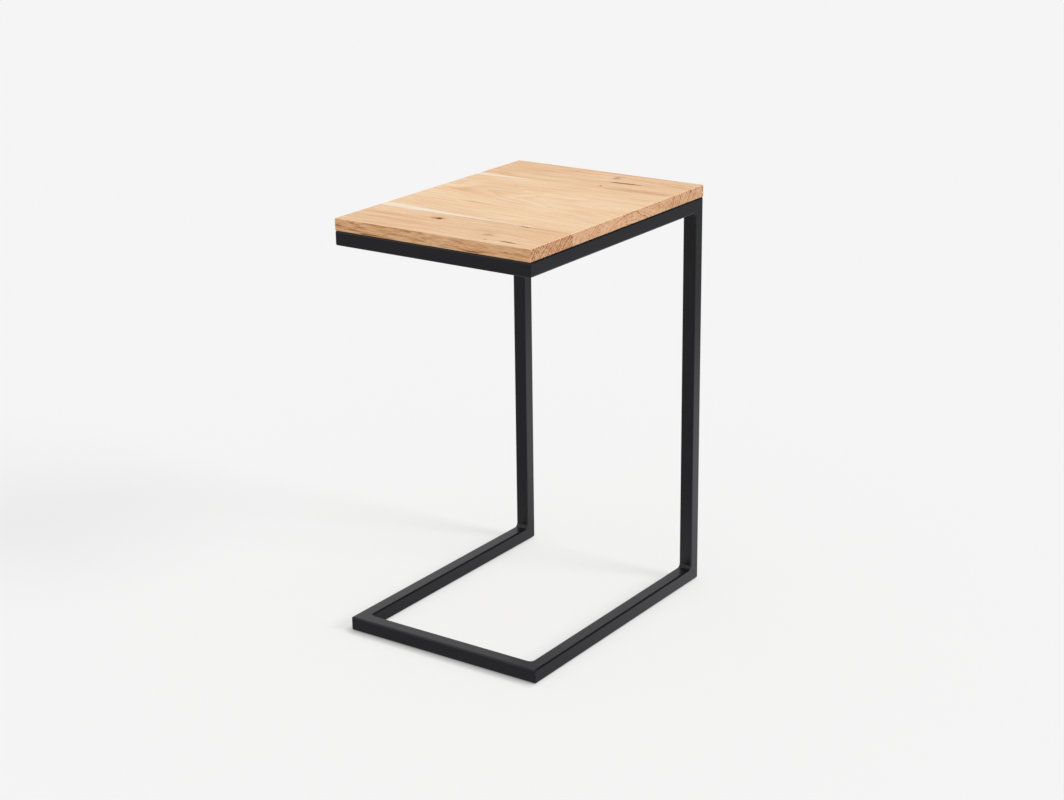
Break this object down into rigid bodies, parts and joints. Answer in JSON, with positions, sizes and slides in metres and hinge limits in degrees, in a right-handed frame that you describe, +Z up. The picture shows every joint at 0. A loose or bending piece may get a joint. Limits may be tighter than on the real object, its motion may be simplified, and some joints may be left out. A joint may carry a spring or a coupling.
{
  "type": "c shaped side table",
  "caption": "C shaped side table: a cantilevered solid wood top on a welded black square-tube steel frame, with rear legs and a floor base that slides under a sofa or bed.",
  "frame": {"origin": "on the floor, under the middle of the table's outline", "axes": "+X right along the grain of the boards, +Y to the rear where the legs stand, +Z up"},
  "size_m": [0.308, 0.418, 0.585],
  "materials": {
    "top_wood": "clear oiled, satin",
    "frame_black": "black powder coat, satin",
    "fixing_steel": "zinc plated",
    "glide_plastic": "moulded, matte"
  },
  "bodies": {
    "root": {"base_front_rail": "frame_black", "base_left_corner_weld": "frame_black", "base_left_runner": "frame_black", "base_right_corner_weld": "frame_black", "base_right_runner": "frame_black", "front_board": "top_wood", "front_left_glide": "glide_plastic", "front_left_tab": "frame_black", "front_left_tab_weld": "frame_black", "front_right_glide": "glide_plastic", "front_right_tab": "frame_black", "front_right_tab_weld": "frame_black", "left_heel_weld": "frame_black", "left_leg": "frame_black", "left_shoulder_weld": "frame_black", "middle_board": "top_wood", "rear_board": "top_wood", "rear_left_glide": "glide_plastic", "rear_left_tab": "frame_black", "rear_left_tab_weld": "frame_black", "rear_rail_left_under_weld": "frame_black", "rear_rail_left_weld": "frame_black", "rear_rail_right_under_weld": "frame_black", "rear_rail_right_weld": "frame_black", "rear_right_glide": "glide_plastic", "rear_right_tab": "frame_black", "rear_right_tab_weld": "frame_black", "right_heel_weld": "frame_black", "right_leg": "frame_black", "right_shoulder_weld": "frame_black", "top_front_rail": "frame_black", "top_left_corner_weld": "frame_black", "top_left_rail": "frame_black", "top_rear_rail": "frame_black", "top_right_corner_weld": "frame_black", "top_right_rail": "frame_black", "top_screws": "fixing_steel", "top_washers": "fixing_steel"}
  },
  "joints": []
}
